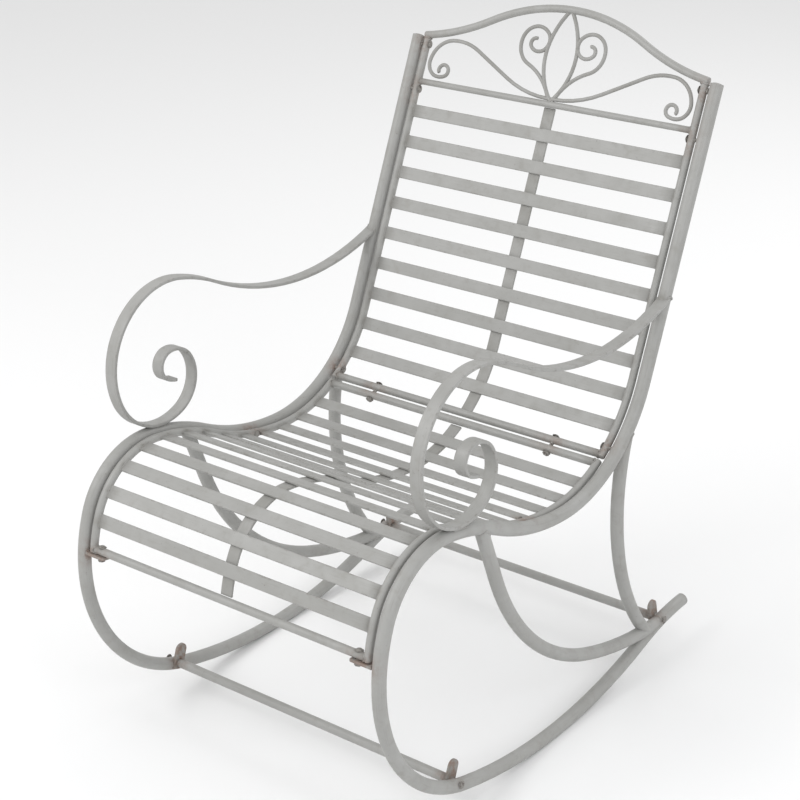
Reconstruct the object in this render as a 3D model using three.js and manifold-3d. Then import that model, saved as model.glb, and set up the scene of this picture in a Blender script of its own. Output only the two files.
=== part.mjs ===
// A painted iron rocking chair: two bent-tube side frames with scrolled flat-bar arms, a slatted back
// panel with a scrollwork crest, a slatted seat panel and two stretchers. Millimetres, +Z up; the
// sitter faces -Y. Each side frame is drawn by its bends, in the order a tube bender would make them.
import * as THREE from 'three';
import { mergeVertices } from 'three/addons/utils/BufferGeometryUtils.js';
import Module from 'manifold-3d';

const manifold = await Module();
manifold.setup();

// ---- Side tubes, from the top of the upright down to the tail of the rocker ----
const sideSpacing = 550; // between the centre planes of the two side tubes
const tubeDiameter = 20;
const uprightLean = 21.5; // degrees back from the vertical
const uprightLength = 447;
const reclineBend = { radius: 218, angle: -68.5 };
const seatDip = { radius: 363, angle: -25.7 };
const seatCrest = { radius: 333, angle: 20.5 };
const frontRoll = { radius: 123, angle: 75 };
const frontLoop = { radius: 244, angle: 96.5 };
const rockerBend = { radius: 783, angle: 34.2 };
const tailFlare = { radius: 409, angle: -17.5 };

// ---- Braces and rear legs: their bends, and where they meet the side tube ----
const braceHeading = -68;
const braceBends = [{ length: 100 }, { radius: 380, angle: 49.6 }, { radius: 640, angle: 19 }];
const braceTopFromCrest = 76; // along the tube, behind the end of the seat crest
const braceFootFromTail = 74; // along the tube, ahead of the tail end
const legHeading = -106.5;
const legBends = [{ length: 9 }, { radius: 376, angle: 32.3 }, { radius: 358, angle: 29.4 }];
const legTopBelowUpright = 76; // along the tube, past the straight of the upright
const legFootFromTail = 105;

// ---- Arms: flat bar ----
const armWidth = 20;
const armThickness = 5;
const armOutset = 2; // the arm's centre plane is this far outside the side tube's
const armHeading = -156.4;
const armBends = [
  { radius: 449, angle: -49.9 },
  { radius: 287, angle: 15.3 },
  { radius: 116, angle: 123.8 },
  { radius: 88.6, angle: 65.6 }, // ends at the foot of the arm, on the seat crest
];
const armScroll = [
  { radius: 88.6, angle: 28 },
  { radius: 55.5, angle: 99 },
  { radius: 40, angle: 64.3 },
  { radius: 22.8, angle: 148.8 },
  { radius: 72, angle: 12.2 },
];
const armTopFromTubeTop = 318; // along the tube
const armFootFromCrest = -19.5; // along the tube, past the end of the seat crest

// ---- Panels ----
const panelGap = 3.5; // between a side tube and the panel rail beside it
const railDiameter = 12;
const slatWidth = 20;
const slatThickness = 4;
const strapWidth = 20;
const strapThickness = 4;
const strapGap = 0.8; // the strap runs behind flat slats on a curve
const backSlats = 9;
const backRailFromTubeTop = 570; // back panel's lower rail, along the tube
const firstBackSlatGap = 48; // crest rail to first slat, centre to centre
const lastBackSlatGap = 48; // last slat to the lower rail
const panelJoint = 16.5; // back panel's lower rail to the seat panel's upper rail
const seatSlats = 13;
const seatLength = 614; // along the tube, upper rail to front rail
const firstSeatSlatGap = 43;
const lastSeatSlatGap = 43.5;

// ---- Crest of the back panel, in the plane of the upright; the bends are scaled to its width ----
const crestShoulder = { radius: 386, angle: 19 };
const crestCrown = { radius: 307, angle: -54.6 };
const crestRailDrop = 74; // ends of the arch down to the crest rail
const crestRailDiameter = 10;
const scrollBar = 6; // diameter
const leafHeading = 48;
const leafBends = [{ radius: 95, angle: 56 }, { radius: 118, angle: 28 }];
const heartHeading = 62.4;
const heartBends = [
  { radius: 93, angle: -40.8 }, { radius: 33.6, angle: 81.6 }, { radius: 26.7, angle: 122 },
  { radius: 17.9, angle: 182 }, { radius: 8.4, angle: 150 },
];
const heartStart = [7.7, 12.3]; // from the middle of the crest rail, as built
const outerBends = [
  { radius: 186, angle: 27.5 }, { length: 75 }, { radius: 91, angle: -34.5 },
  { radius: 43, angle: -75 }, { radius: 22, angle: -88 }, { radius: 29, angle: -34 },
  { radius: 9.5, angle: -240 }, { radius: 5.5, angle: -60 },
];
const outerStart = 5; // from the middle of the crest rail, as built
const outerShrink = 0.975; // brings the scroll just inside the rails

// ---- Stretchers, lugs and brackets ----
const stretcherDiameter = 14;
const frontStretcherFromTubeTop = 1541;
const rearStretcherFromTail = 72;
const stretcherRise = 5; // above the side tube's centre line
const lugWidth = 20;
const lugThickness = 5;
const lugTop = 36; // above the side tube's centre line
const lugDrop = 5; // below it
const weldDepth = 2; // how far a welded lug reaches into its tube
const bracketThickness = 4;
const bracketWidth = 16;
const bracketReach = 38;

// ---- Fasteners ----
const clearance = 0.3;
const boltDiameter = 6;
const boltHeadDiameter = 10;
const boltHeadHeight = 3;
const boltCrown = { diameter: 6, height: 2.55 }; // a ring on the head's dome
const nutHeight = 4;
const boltGrip = 13; // how far a bolt reaches into the tube or bar that it screws into
const boltEndGap = 1; // between a bolt's tip and the end of its hole
const holeOverrun = 2; // how far a hole runs past what it is for
const railBoltOffset = 13; // along the rail, clear of the cross rail's end
const jointBoltX = 170;
const bracketBoltFromRail = 16; // from the axis of the seat rail

// ---- Facets ----
const tubeSides = 10; // a vertex at each side and a flat at the bottom
const barSides = 6;
const turnStep = 7.5; // degrees of bend between the sections of a tube
const barTurnStep = 11;
const scrollTurnStep = 20;
const straightStep = 75;
const holeSides = 12;

const tubeRadius = tubeDiameter / 2;
const railRadius = railDiameter / 2;
const sideX = sideSpacing / 2;
const railX = sideX - tubeRadius - panelGap - railRadius;
const crossHalf = railX - railRadius - clearance; // half length of what fits between the rails
const radians = THREE.MathUtils.degToRad;

// A path in a plane, made of straights and arcs. heading is the angle from the plane's u to its v.
class BentPath extends THREE.Curve {
  constructor(plane, start, heading, pieces, stepAngle = turnStep) {
    super();
    Object.assign(this, { plane, start, heading, pieces, stepAngle });
    this.stations = [0];
    for (const piece of pieces) {
      const end = this.length() + pieceLength(piece);
      const turn = Math.abs(piece.angle ?? 0);
      const steps = Math.ceil(turn ? turn / stepAngle : piece.length / straightStep);
      const from = this.length();
      for (let i = 1; i <= steps; i++) this.stations.push(from + ((end - from) * i) / steps);
    }
  }
  length() {
    return this.stations[this.stations.length - 1];
  }
  steps() {
    return this.stations.length - 1;
  }
  // The plane coordinates and heading at a distance along the path, with an offset to its left.
  at(distance, offset = 0) {
    let [a, b] = this.start;
    let heading = radians(this.heading);
    let left = distance;
    for (const piece of this.pieces) {
      const run = Math.min(left, pieceLength(piece));
      const turn = piece.angle ? (radians(piece.angle) * run) / pieceLength(piece) : 0;
      const chord = turn ? (run * Math.sin(turn / 2)) / (turn / 2) : run;
      a += chord * Math.cos(heading + turn / 2);
      b += chord * Math.sin(heading + turn / 2);
      heading += turn;
      left -= run;
      if (left <= 0) break;
    }
    return { a: a - offset * Math.sin(heading), b: b + offset * Math.cos(heading), heading };
  }
  toSpace(a, b) {
    const { origin, u, v } = this.plane;
    return origin.clone().addScaledVector(u, a).addScaledVector(v, b);
  }
  getPoint(t) {
    const at = t * this.steps();
    const i = Math.min(Math.floor(at), this.steps() - 1);
    const { a, b } = this.at(THREE.MathUtils.lerp(this.stations[i], this.stations[i + 1], at - i));
    return this.toSpace(a, b);
  }
  getPointAt(t) {
    return this.getPoint(t);
  }
  getSpacedPoints(divisions) {
    return Array.from({ length: divisions + 1 }, (_, i) => this.getPoint(i / divisions));
  }
  computeFrenetFrames(segments) {
    const { u, v } = this.plane;
    const normal = u.clone().cross(v);
    const frames = { tangents: [], normals: [], binormals: [] };
    for (let i = 0; i <= segments; i++) {
      const { heading } = this.at(this.stations[i]);
      const tangent = u.clone().multiplyScalar(Math.cos(heading)).addScaledVector(v, Math.sin(heading));
      frames.tangents.push(tangent);
      frames.normals.push(normal.clone());
      frames.binormals.push(tangent.clone().cross(normal));
    }
    return frames;
  }
  // The part of the path between two distances, moved to its left by an offset.
  between(from, to, plane = this.plane, offset = 0) {
    const begin = this.at(from, offset);
    const kept = [];
    let done = 0;
    for (const piece of this.pieces) {
      const length = pieceLength(piece);
      const run = Math.min(to, done + length) - Math.max(from, done);
      if (run > 0) kept.push(trimmed(piece, run / length, offset));
      done += length;
    }
    return new BentPath(plane, [begin.a, begin.b], THREE.MathUtils.radToDeg(begin.heading), kept);
  }
}

function pieceLength(piece) {
  return piece.angle ? piece.radius * Math.abs(radians(piece.angle)) : piece.length;
}

function trimmed(piece, share, offset = 0) {
  if (!piece.angle) return { length: piece.length * share };
  return { radius: piece.radius - offset * Math.sign(piece.angle), angle: piece.angle * share };
}

function scaled(piece, factor) {
  if (!piece.angle) return { length: piece.length * factor };
  return { radius: piece.radius * factor, angle: piece.angle };
}

// Bends that run from one point to another: turned and scaled so that their end lands on the second.
function bendsBetween(plane, heading, pieces, from, to, stepAngle = turnStep, rest = []) {
  const end = new BentPath(plane, [0, 0], heading, pieces);
  const reach = end.at(end.length());
  const wanted = [to.a - from.a, to.b - from.b];
  const factor = Math.hypot(...wanted) / Math.hypot(reach.a, reach.b);
  const turn = Math.atan2(wanted[1], wanted[0]) - Math.atan2(reach.b, reach.a);
  const all = [...pieces, ...rest].map((piece) => scaled(piece, factor));
  return new BentPath(plane, [from.a, from.b], heading + THREE.MathUtils.radToDeg(turn), all, stepAngle);
}

const sidePlane = (x) => ({
  origin: new THREE.Vector3(x, 0, 0),
  u: new THREE.Vector3(0, 1, 0),
  v: new THREE.Vector3(0, 0, 1),
});
const sidePieces = [
  { length: uprightLength }, reclineBend, seatDip, seatCrest, frontRoll, frontLoop, rockerBend, tailFlare,
];
const sidePath = (x) => new BentPath(sidePlane(x), [0, 0], -90 - uprightLean, sidePieces);
const side = sidePath(0);
const crestEnd = sidePieces.slice(0, 4).reduce((sum, piece) => sum + pieceLength(piece), 0);

// The plane of the crest: u across the chair, v up along the upright from the top of the tubes.
const crestPlane = {
  origin: new THREE.Vector3(0, 0, 0),
  u: new THREE.Vector3(1, 0, 0),
  v: new THREE.Vector3(0, Math.sin(radians(uprightLean)), Math.cos(radians(uprightLean))),
};

// The arch, drawn at its nominal size, and what scales it to reach from rail to rail.
const archBends = [crestShoulder, crestCrown, crestShoulder];
const archHeading = -crestCrown.angle / 2 - crestShoulder.angle;
const nominalArch = new BentPath(crestPlane, [0, 0], archHeading, archBends);
const crestScale = (2 * (railX + railRadius)) / nominalArch.at(nominalArch.length()).a;

// ---- Solids ----
function polygon(radius, sides) {
  const angles = Array.from({ length: sides }, (_, i) => (2 * Math.PI * i) / sides);
  return new THREE.Shape(angles.map((a) => new THREE.Vector2(radius * Math.cos(a), radius * Math.sin(a))));
}

function rectangle(width, height) {
  const [x, y] = [width / 2, height / 2];
  return new THREE.Shape([[-x, -y], [x, -y], [x, y], [-x, y]].map((p) => new THREE.Vector2(...p)));
}

function sweep(path, shape) {
  return new THREE.ExtrudeGeometry(shape, { steps: path.steps(), extrudePath: path, bevelEnabled: false });
}

const tube = (path, radius, sides = tubeSides) => sweep(path, polygon(radius, sides));

function toSolid(geometry) {
  const plain = geometry.clone();
  plain.deleteAttribute('normal');
  plain.deleteAttribute('uv');
  const welded = mergeVertices(plain, 1e-4);
  return new manifold.Manifold(new manifold.Mesh({
    numProp: 3,
    vertProperties: new Float32Array(welded.attributes.position.array),
    triVerts: new Uint32Array(welded.index.array),
  }));
}

function toGeometry(solid) {
  const { vertProperties, triVerts } = solid.getMesh();
  const geometry = new THREE.BufferGeometry();
  geometry.setAttribute('position', new THREE.BufferAttribute(vertProperties, 3));
  geometry.setIndex(new THREE.BufferAttribute(triVerts, 1));
  geometry.computeVertexNormals();
  return geometry;
}

function join(...geometries) {
  return toGeometry(geometries.map(toSolid).reduce((sum, solid) => sum.add(solid)));
}

// Takes the cutters away and keeps the largest piece that is left.
function cut(geometry, ...cutters) {
  const left = cutters.map(toSolid).reduce((rest, cutter) => rest.subtract(cutter), toSolid(geometry));
  return toGeometry(left.decompose().sort((p, q) => q.volume() - p.volume())[0]);
}

// A cylinder between two points, for holes and for bars that run straight.
function rod(from, to, radius, sides = holeSides) {
  const run = new THREE.Vector3().subVectors(to, from);
  const geometry = new THREE.CylinderGeometry(radius, radius, run.length(), sides);
  geometry.applyQuaternion(new THREE.Quaternion().setFromUnitVectors(new THREE.Vector3(0, 1, 0),
    run.clone().normalize()));
  return geometry.translate(...from.clone().addScaledVector(run, 0.5));
}

const hole = (from, to) => rod(from, to, boltDiameter / 2 + 2 * clearance);

// ---- The assembly ----
const paint = { color: 0xb4b2ad, roughness: 0.55, metalness: 0.1 };
const shadedPaint = { color: 0xa7a5a0, roughness: 0.6, metalness: 0.1 };
const fastenerFinish = { color: 0x8c7d75, roughness: 0.65, metalness: 0.35 };
const chair = new THREE.Group();

function place(name, geometry, finish = paint, parent = chair) {
  const mesh = new THREE.Mesh(geometry, new THREE.MeshStandardMaterial(finish));
  mesh.name = name;
  parent.add(mesh);
  return mesh;
}

const sides = [['left', sideX], ['right', -sideX]]; // the sitter's left is +X
const inward = (x) => -Math.sign(x);
const along = (s, x, offset = 0) => {
  const { a, b } = side.at(s, offset);
  return new THREE.Vector3(x, a, b);
};

const frontRailAt = backRailFromTubeTop + panelJoint + seatLength;
const tailEnd = side.length();
const stretcherAt = { front: frontStretcherFromTubeTop, rear: tailEnd - rearStretcherFromTail };
const bracketAt = frontRailAt + railRadius + clearance + bracketThickness / 2;
const stretcherHalf = sideX - tubeRadius + weldDepth - lugThickness - clearance; // half its length
const crestRailAt = crestRailDrop * crestScale;
const railBoltAt = { upper: crestRailAt + railBoltOffset, lower: backRailFromTubeTop - railBoltOffset };

// A lug on the inside of a side tube, standing above it, that the end of a stretcher is bolted to.
function lug(x, s, grow = 0) {
  const outline = new THREE.Shape();
  const half = lugWidth / 2 + grow;
  const shoulder = lugTop - lugWidth / 2;
  outline.moveTo(-half, -lugDrop - grow);
  outline.lineTo(half, -lugDrop - grow);
  outline.lineTo(half, shoulder);
  outline.absarc(0, shoulder, half, 0, Math.PI, false);
  const depth = lugThickness + 2 * grow;
  const plate = new THREE.ExtrudeGeometry(outline, { depth, bevelEnabled: false, curveSegments: 8 });
  const { a, b, heading } = side.at(s);
  const face = sideX - tubeRadius + weldDepth + grow - (x > 0 ? depth : 0);
  const matrix = new THREE.Matrix4().makeBasis(
    new THREE.Vector3(0, Math.cos(heading), Math.sin(heading)),
    new THREE.Vector3(0, -Math.sin(heading), Math.cos(heading)),
    new THREE.Vector3(1, 0, 0),
  );
  return plate.applyMatrix4(matrix).translate(x > 0 ? face : -face, a, b);
}

// A flat bracket that reaches inward from a side tube, under the end of the seat's front rail.
function bracket(x) {
  const outer = sideX - tubeRadius + weldDepth;
  const plate = new THREE.BoxGeometry(bracketReach, bracketThickness, bracketWidth);
  const { a, b, heading } = side.at(bracketAt);
  const middle = (outer - bracketReach / 2) * Math.sign(x);
  return plate.rotateX(heading).translate(middle, a, b);
}

const bracketBoltX = (x) => Math.sign(x) * (railX - bracketBoltFromRail);

function bracketHole(x) {
  const boltX = bracketBoltX(x);
  const from = side.at(frontRailAt);
  const reach = railRadius + bracketThickness + nutHeight;
  const run = new THREE.Vector3(0, Math.cos(from.heading), Math.sin(from.heading)).multiplyScalar(reach);
  const middle = new THREE.Vector3(boltX, from.a, from.b);
  return hole(middle.clone().sub(run), middle.clone().add(run));
}

function tubeHoles(x) {
  const face = x + inward(x) * (tubeRadius + holeOverrun);
  const depth = x + inward(x) * (tubeRadius - boltGrip);
  return Object.values(railBoltAt).map((s) => hole(along(s, face), along(s, depth)));
}

// The hole for a stretcher's bolt, through the side tube and its lug.
function stretcherHole(x, s) {
  const reach = tubeRadius + lugThickness + holeOverrun;
  return hole(along(s, x - reach, stretcherRise), along(s, x + reach, stretcherRise));
}

function buildSideFrame(name, x) {
  const path = sidePath(x);
  const lugs = [lug(x, stretcherAt.front), lug(x, stretcherAt.rear)];
  const welded = join(tube(path, tubeRadius), ...lugs, bracket(x));
  const rearHole = stretcherHole(x, stretcherAt.rear);
  const holes = [stretcherHole(x, stretcherAt.front), rearHole, bracketHole(x), ...tubeHoles(x)];
  place(`${name}_side_tube`, cut(welded, ...holes));

  const clearTube = tube(path, tubeRadius + clearance);
  const braceTop = side.at(crestEnd - braceTopFromCrest);
  const braceFoot = side.at(tailEnd - braceFootFromTail);
  const bracePath = bendsBetween(sidePlane(x), braceHeading, braceBends, braceTop, braceFoot);
  const clearLug = lug(x, stretcherAt.rear, clearance);
  place(`${name}_brace`, cut(tube(bracePath, tubeRadius), clearTube, clearLug, rearHole), shadedPaint);

  const legTop = side.at(uprightLength + legTopBelowUpright);
  const legFoot = side.at(tailEnd - legFootFromTail);
  const legPath = bendsBetween(sidePlane(x), legHeading, legBends, legTop, legFoot);
  const clearBrace = tube(bracePath, tubeRadius + clearance);
  const leg = cut(tube(legPath, tubeRadius), clearTube, clearBrace, clearLug, rearHole);
  place(`${name}_rear_leg`, leg, shadedPaint);

  const armPlane = sidePlane(x - inward(x) * armOutset);
  const armTop = side.at(armTopFromTubeTop);
  const armFoot = side.at(crestEnd + armFootFromCrest, -(tubeRadius + armThickness / 2 + clearance));
  const armPath = bendsBetween(armPlane, armHeading, armBends, armTop, armFoot, barTurnStep, armScroll);
  place(`${name}_arm`, cut(sweep(armPath, rectangle(armWidth, armThickness)), clearTube));
}

// A bar across the chair between the panel rails, with bolt holes where they are asked for.
function crossRail(name, s, radius, ...holes) {
  const bar = rod(along(s, -crossHalf), along(s, crossHalf), radius, tubeSides);
  place(name, holes.length ? cut(bar, ...holes) : bar);
}

function slat(name, s) {
  const { a, b, heading } = side.at(s);
  const mesh = place(name, new THREE.BoxGeometry(2 * crossHalf, slatWidth, slatThickness));
  mesh.position.set(0, a, b);
  mesh.rotation.x = heading;
}

function slatRow(name, count, first, last) {
  for (let i = 0; i < count; i++) {
    slat(`${name}_slat_${String(i + 1).padStart(2, '0')}`, first + ((last - first) * i) / (count - 1));
  }
}

function strap(name, from, to) {
  const behind = slatThickness / 2 + strapGap + strapThickness / 2;
  const path = side.between(from, to, sidePlane(0), behind);
  place(name, sweep(path, rectangle(strapWidth, strapThickness)), shadedPaint);
}

function jointHoles() {
  const middle = backRailFromTubeTop + panelJoint / 2;
  const { a, b, heading } = side.at(middle);
  const reach = panelJoint + railRadius;
  const run = new THREE.Vector3(0, Math.cos(heading), Math.sin(heading)).multiplyScalar(reach);
  return [jointBoltX, -jointBoltX].map((x) => {
    const centre = new THREE.Vector3(x, a, b);
    return hole(centre.clone().sub(run), centre.clone().add(run));
  });
}

// The crest plane as seen from the middle towards the +X side (sign 1) or the -X side (sign -1).
const crestHalf = (sign) => ({ ...crestPlane, u: new THREE.Vector3(sign, 0, 0) });

function crestBar(sign, start, heading, bends, shrink = 1) {
  const pieces = bends.map((piece) => scaled(piece, crestScale * shrink));
  return new BentPath(crestHalf(sign), start, heading, pieces, scrollTurnStep);
}

const bar = (path, radius = scrollBar / 2) => sweep(path, polygon(radius, barSides));

function buildCrest() {
  const archPieces = archBends.map((piece) => scaled(piece, crestScale));
  const archPath = new BentPath(crestPlane, [-railX - railRadius, 0], archHeading, archPieces);
  place('crest_arch', tube(archPath, railRadius));
  const clearArch = tube(archPath, railRadius + clearance);

  crossRail('crest_rail', crestRailAt, crestRailDiameter / 2);
  const railTop = -crestRailAt + crestRailDiameter / 2;
  const clearRail = rod(along(crestRailAt, -crossHalf), along(crestRailAt, crossHalf),
    crestRailDiameter / 2 + clearance, tubeSides);

  const crownTop = archPath.at(archPath.length() / 2).b;
  const leafHalf = (sign) => bendsBetween(crestHalf(sign), leafHeading, leafBends,
    { a: 0, b: railTop }, { a: 0, b: crownTop }, barTurnStep);
  const leaf = join(bar(leafHalf(1)), bar(leafHalf(-1)));
  place('crest_leaf', cut(leaf, clearArch, clearRail));
  const clearLeaf = [1, -1].map((sign) => bar(leafHalf(sign), scrollBar / 2 + clearance));

  for (const [name, x] of sides) {
    const sign = Math.sign(x);
    const heartFrom = [heartStart[0], -crestRailAt + heartStart[1]];
    const heartPath = crestBar(sign, heartFrom, heartHeading, heartBends);
    place(`${name}_heart_scroll`, cut(bar(heartPath), ...clearLeaf, clearRail));
    const clearHeart = bar(heartPath, scrollBar / 2 + clearance);
    const outerFrom = [outerStart, railTop + scrollBar / 2 + clearance];
    const outerPath = crestBar(sign, outerFrom, 0, outerBends, outerShrink);
    place(`${name}_outer_scroll`, cut(bar(outerPath), ...clearLeaf, clearHeart, clearRail, clearArch));
  }
  return clearArch;
}

function buildBackPanel() {
  const clearArch = buildCrest();
  for (const [name, x] of sides) {
    const path = side.between(0, backRailFromTubeTop + railRadius, sidePlane(Math.sign(x) * railX));
    const holes = Object.values(railBoltAt).map((s) => hole(along(s, 0), along(s, x)));
    place(`${name}_back_rail`, cut(tube(path, railRadius), clearArch, ...holes));
  }
  crossRail('back_lower_rail', backRailFromTubeTop, railRadius, ...jointHoles());
  slatRow('back', backSlats, crestRailAt + firstBackSlatGap, backRailFromTubeTop - lastBackSlatGap);
  strap('back_strap', crestRailAt + crestRailDiameter / 2 + clearance,
    backRailFromTubeTop - railRadius - clearance);
}

function buildSeatPanel() {
  const start = backRailFromTubeTop + panelJoint;
  for (const [name, x] of sides) {
    const plane = sidePlane(Math.sign(x) * railX);
    const path = side.between(start - railRadius, frontRailAt + railRadius, plane);
    place(`${name}_seat_rail`, tube(path, railRadius));
  }
  crossRail('seat_upper_rail', start, railRadius, ...jointHoles());
  crossRail('seat_front_rail', frontRailAt, railRadius, bracketHole(sideX), bracketHole(-sideX));
  slatRow('seat', seatSlats, start + firstSeatSlatGap, frontRailAt - lastSeatSlatGap);
  strap('seat_strap', start + railRadius + clearance, frontRailAt - railRadius - clearance);
}

function buildStretchers() {
  for (const [name, s] of Object.entries(stretcherAt)) {
    const end = (x) => along(s, x, stretcherRise);
    const round = rod(end(-stretcherHalf), end(stretcherHalf), stretcherDiameter / 2, tubeSides);
    const depth = boltGrip + holeOverrun;
    const open = stretcherHalf + holeOverrun;
    const ends = [1, -1].map((sign) => hole(end(sign * open), end(sign * (stretcherHalf - depth))));
    place(`${name}_stretcher`, cut(round, ...ends), shadedPaint);
  }
}

// A domed bolt along +Y, its head's seat at the origin; with a nut where the grip ends in one.
function boltGeometry(length, nutAt = 0) {
  const shank = boltDiameter / 2;
  const head = boltHeadDiameter / 2;
  const dome = [[0, -boltHeadHeight], [boltCrown.diameter / 2, -boltCrown.height], [head, -clearance]];
  const profile = [...dome, [head, 0], [shank, 0]];
  const nutEnd = nutAt + nutHeight;
  if (nutAt) profile.push([shank, nutAt], [head, nutAt], [head, nutEnd], [shank, nutEnd]);
  profile.push([shank, length], [0, length]);
  return new THREE.LatheGeometry(profile.map((p) => new THREE.Vector2(...p)), holeSides);
}

function bolt(name, seat, direction, length, nutAt = 0) {
  const mesh = place(name, boltGeometry(length, nutAt), fastenerFinish);
  mesh.position.copy(seat);
  mesh.quaternion.setFromUnitVectors(new THREE.Vector3(0, 1, 0), direction);
}

function buildBolts() {
  const railFace = railX - railRadius - clearance;
  const railBolt = sideX - tubeRadius - railFace + boltGrip - boltEndGap;
  const outerFace = sideX + tubeRadius + clearance;
  for (const [name, x] of sides) {
    const sign = Math.sign(x);
    const outward = new THREE.Vector3(sign, 0, 0);
    for (const [level, s] of Object.entries(railBoltAt)) {
      bolt(`${name}_${level}_back_bolt`, along(s, sign * railFace), outward, railBolt);
    }
    for (const [end, s] of Object.entries(stretcherAt)) {
      const seat = along(s, sign * outerFace, stretcherRise);
      const length = outerFace - stretcherHalf + boltGrip;
      bolt(`${name}_${end}_stretcher_bolt`, seat, outward.clone().negate(), length);
    }
    const joint = side.at(backRailFromTubeTop + panelJoint / 2);
    const down = new THREE.Vector3(0, Math.cos(joint.heading), Math.sin(joint.heading));
    const grip = panelJoint + 2 * railRadius + 4 * clearance;
    const jointSeat = new THREE.Vector3(sign * jointBoltX, joint.a, joint.b).addScaledVector(down, -grip / 2);
    bolt(`${name}_panel_joint_bolt`, jointSeat, down, grip + nutHeight + 1, grip);
    const front = side.at(frontRailAt);
    const under = new THREE.Vector3(0, Math.cos(front.heading), Math.sin(front.heading));
    const frontGrip = 2 * railRadius + bracketThickness + 4 * clearance;
    const frontSeat = new THREE.Vector3(bracketBoltX(x), front.a, front.b)
      .addScaledVector(under, -railRadius - clearance);
    bolt(`${name}_seat_bolt`, frontSeat, under, frontGrip + nutHeight + 1, frontGrip);
  }
}

// The centre of gravity of solids of one density.
function centreOfGravity(group) {
  group.updateMatrixWorld(true);
  const sum = new THREE.Vector3();
  let volume = 0;
  group.traverse((mesh) => {
    if (!mesh.isMesh) return;
    const flat = mesh.geometry.index ? mesh.geometry.toNonIndexed() : mesh.geometry;
    const position = flat.attributes.position;
    for (let i = 0; i < position.count; i += 3) {
      const [p, q, r] = [0, 1, 2].map((k) =>
        new THREE.Vector3().fromBufferAttribute(position, i + k).applyMatrix4(mesh.matrixWorld));
      const part = p.dot(q.clone().cross(r)) / 6;
      volume += part;
      sum.addScaledVector(p.add(q).add(r), part / 4);
    }
  });
  return sum.divideScalar(volume);
}

// The tilt that puts flat on the floor the facet of the rockers that the centre of gravity is over.
function restTilt(centre) {
  for (let i = 0; i < side.steps(); i++) {
    const [p, q] = [side.at(side.stations[i]), side.at(side.stations[i + 1])];
    const chord = new THREE.Vector2(q.a - p.a, q.b - p.b);
    const foot = new THREE.Vector2(centre.y - p.a, centre.z - p.b).dot(chord) / chord.lengthSq();
    if (chord.x > Math.abs(chord.y) && foot >= 0 && foot < 1) {
      return -Math.atan2(chord.y, chord.x);
    }
  }
  throw new Error('The centre of gravity is over no part of the rockers.');
}

for (const [name, x] of sides) buildSideFrame(name, x);
buildBackPanel();
buildSeatPanel();
buildStretchers();
buildBolts();
chair.rotation.x = restTilt(centreOfGravity(chair));

// The origin is on the floor, under the middle of the chair.
const rockingChair = new THREE.Group();
rockingChair.add(chair);
rockingChair.updateMatrixWorld(true);
const bounds = new THREE.Box3().setFromObject(chair, true);
const middle = bounds.getCenter(new THREE.Vector3());
chair.position.set(-middle.x, -middle.y, -bounds.min.z);

export default rockingChair;
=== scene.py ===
"""Looks for the painted iron rocking chair: smooth bent tubes, forged bars, welds, bolts and paint.

The chair is drawn in its own frame, in millimetres: the origin is midway between the tops of the two
side tubes, +X is the sitter's left, +Y is behind the sitter and +Z is up, before the chair is tilted
onto its rockers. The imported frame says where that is.
"""

import math

import bmesh
import bpy
import numpy as np
from mathutils import Euler, Matrix, Vector


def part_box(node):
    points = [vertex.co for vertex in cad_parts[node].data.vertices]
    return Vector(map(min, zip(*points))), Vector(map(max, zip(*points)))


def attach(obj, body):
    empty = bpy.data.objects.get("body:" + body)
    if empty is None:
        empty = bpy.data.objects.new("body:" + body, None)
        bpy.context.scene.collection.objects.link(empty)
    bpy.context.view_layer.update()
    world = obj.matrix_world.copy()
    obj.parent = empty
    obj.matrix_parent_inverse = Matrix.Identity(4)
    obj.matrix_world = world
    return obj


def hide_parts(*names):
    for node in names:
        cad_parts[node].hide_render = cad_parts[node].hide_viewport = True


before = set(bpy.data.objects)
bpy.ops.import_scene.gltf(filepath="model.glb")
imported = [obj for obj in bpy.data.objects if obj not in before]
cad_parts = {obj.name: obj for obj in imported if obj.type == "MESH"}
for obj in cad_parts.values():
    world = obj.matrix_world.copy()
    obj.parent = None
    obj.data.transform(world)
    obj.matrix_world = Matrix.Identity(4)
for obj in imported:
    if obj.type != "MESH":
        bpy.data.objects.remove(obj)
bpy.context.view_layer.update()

MM = 0.001
SEED = 7

# ---- Side tubes, from the top of the upright to the tail of the rocker: (length,) or (radius, degrees) ----
SIDE_SPACING = 550
TUBE_RADIUS = 10
UPRIGHT_LEAN = 21.5
UPRIGHT_LENGTH = 447
SIDE_BENDS = [(UPRIGHT_LENGTH,), (218, -68.5), (363, -25.7), (333, 20.5), (123, 75), (244, 96.5), (783, 34.2),
              (409, -17.5)]
SEAT_CREST_PIECES = 4  # the seat crest ends after this many of the pieces above

# ---- Braces, rear legs and arms ----
BRACE_HEADING, BRACE_BENDS = -68, [(100,), (380, 49.6), (640, 19)]
BRACE_TOP_FROM_CREST, BRACE_FOOT_FROM_TAIL = 76, 74
LEG_HEADING, LEG_BENDS = -106.5, [(9,), (376, 32.3), (358, 29.4)]
LEG_TOP_BELOW_UPRIGHT, LEG_FOOT_FROM_TAIL = 76, 105
ARM_WIDTH, ARM_THICKNESS, ARM_OUTSET = 20, 5, 2
ARM_HEADING = -156.4
ARM_BENDS = [(449, -49.9), (287, 15.3), (116, 123.8), (88.6, 65.6)]
ARM_SCROLL = [(88.6, 28), (55.5, 99), (40, 64.3), (22.8, 148.8), (72, 12.2)]
ARM_TOP, ARM_FOOT_FROM_CREST = 318, -19.5

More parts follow.
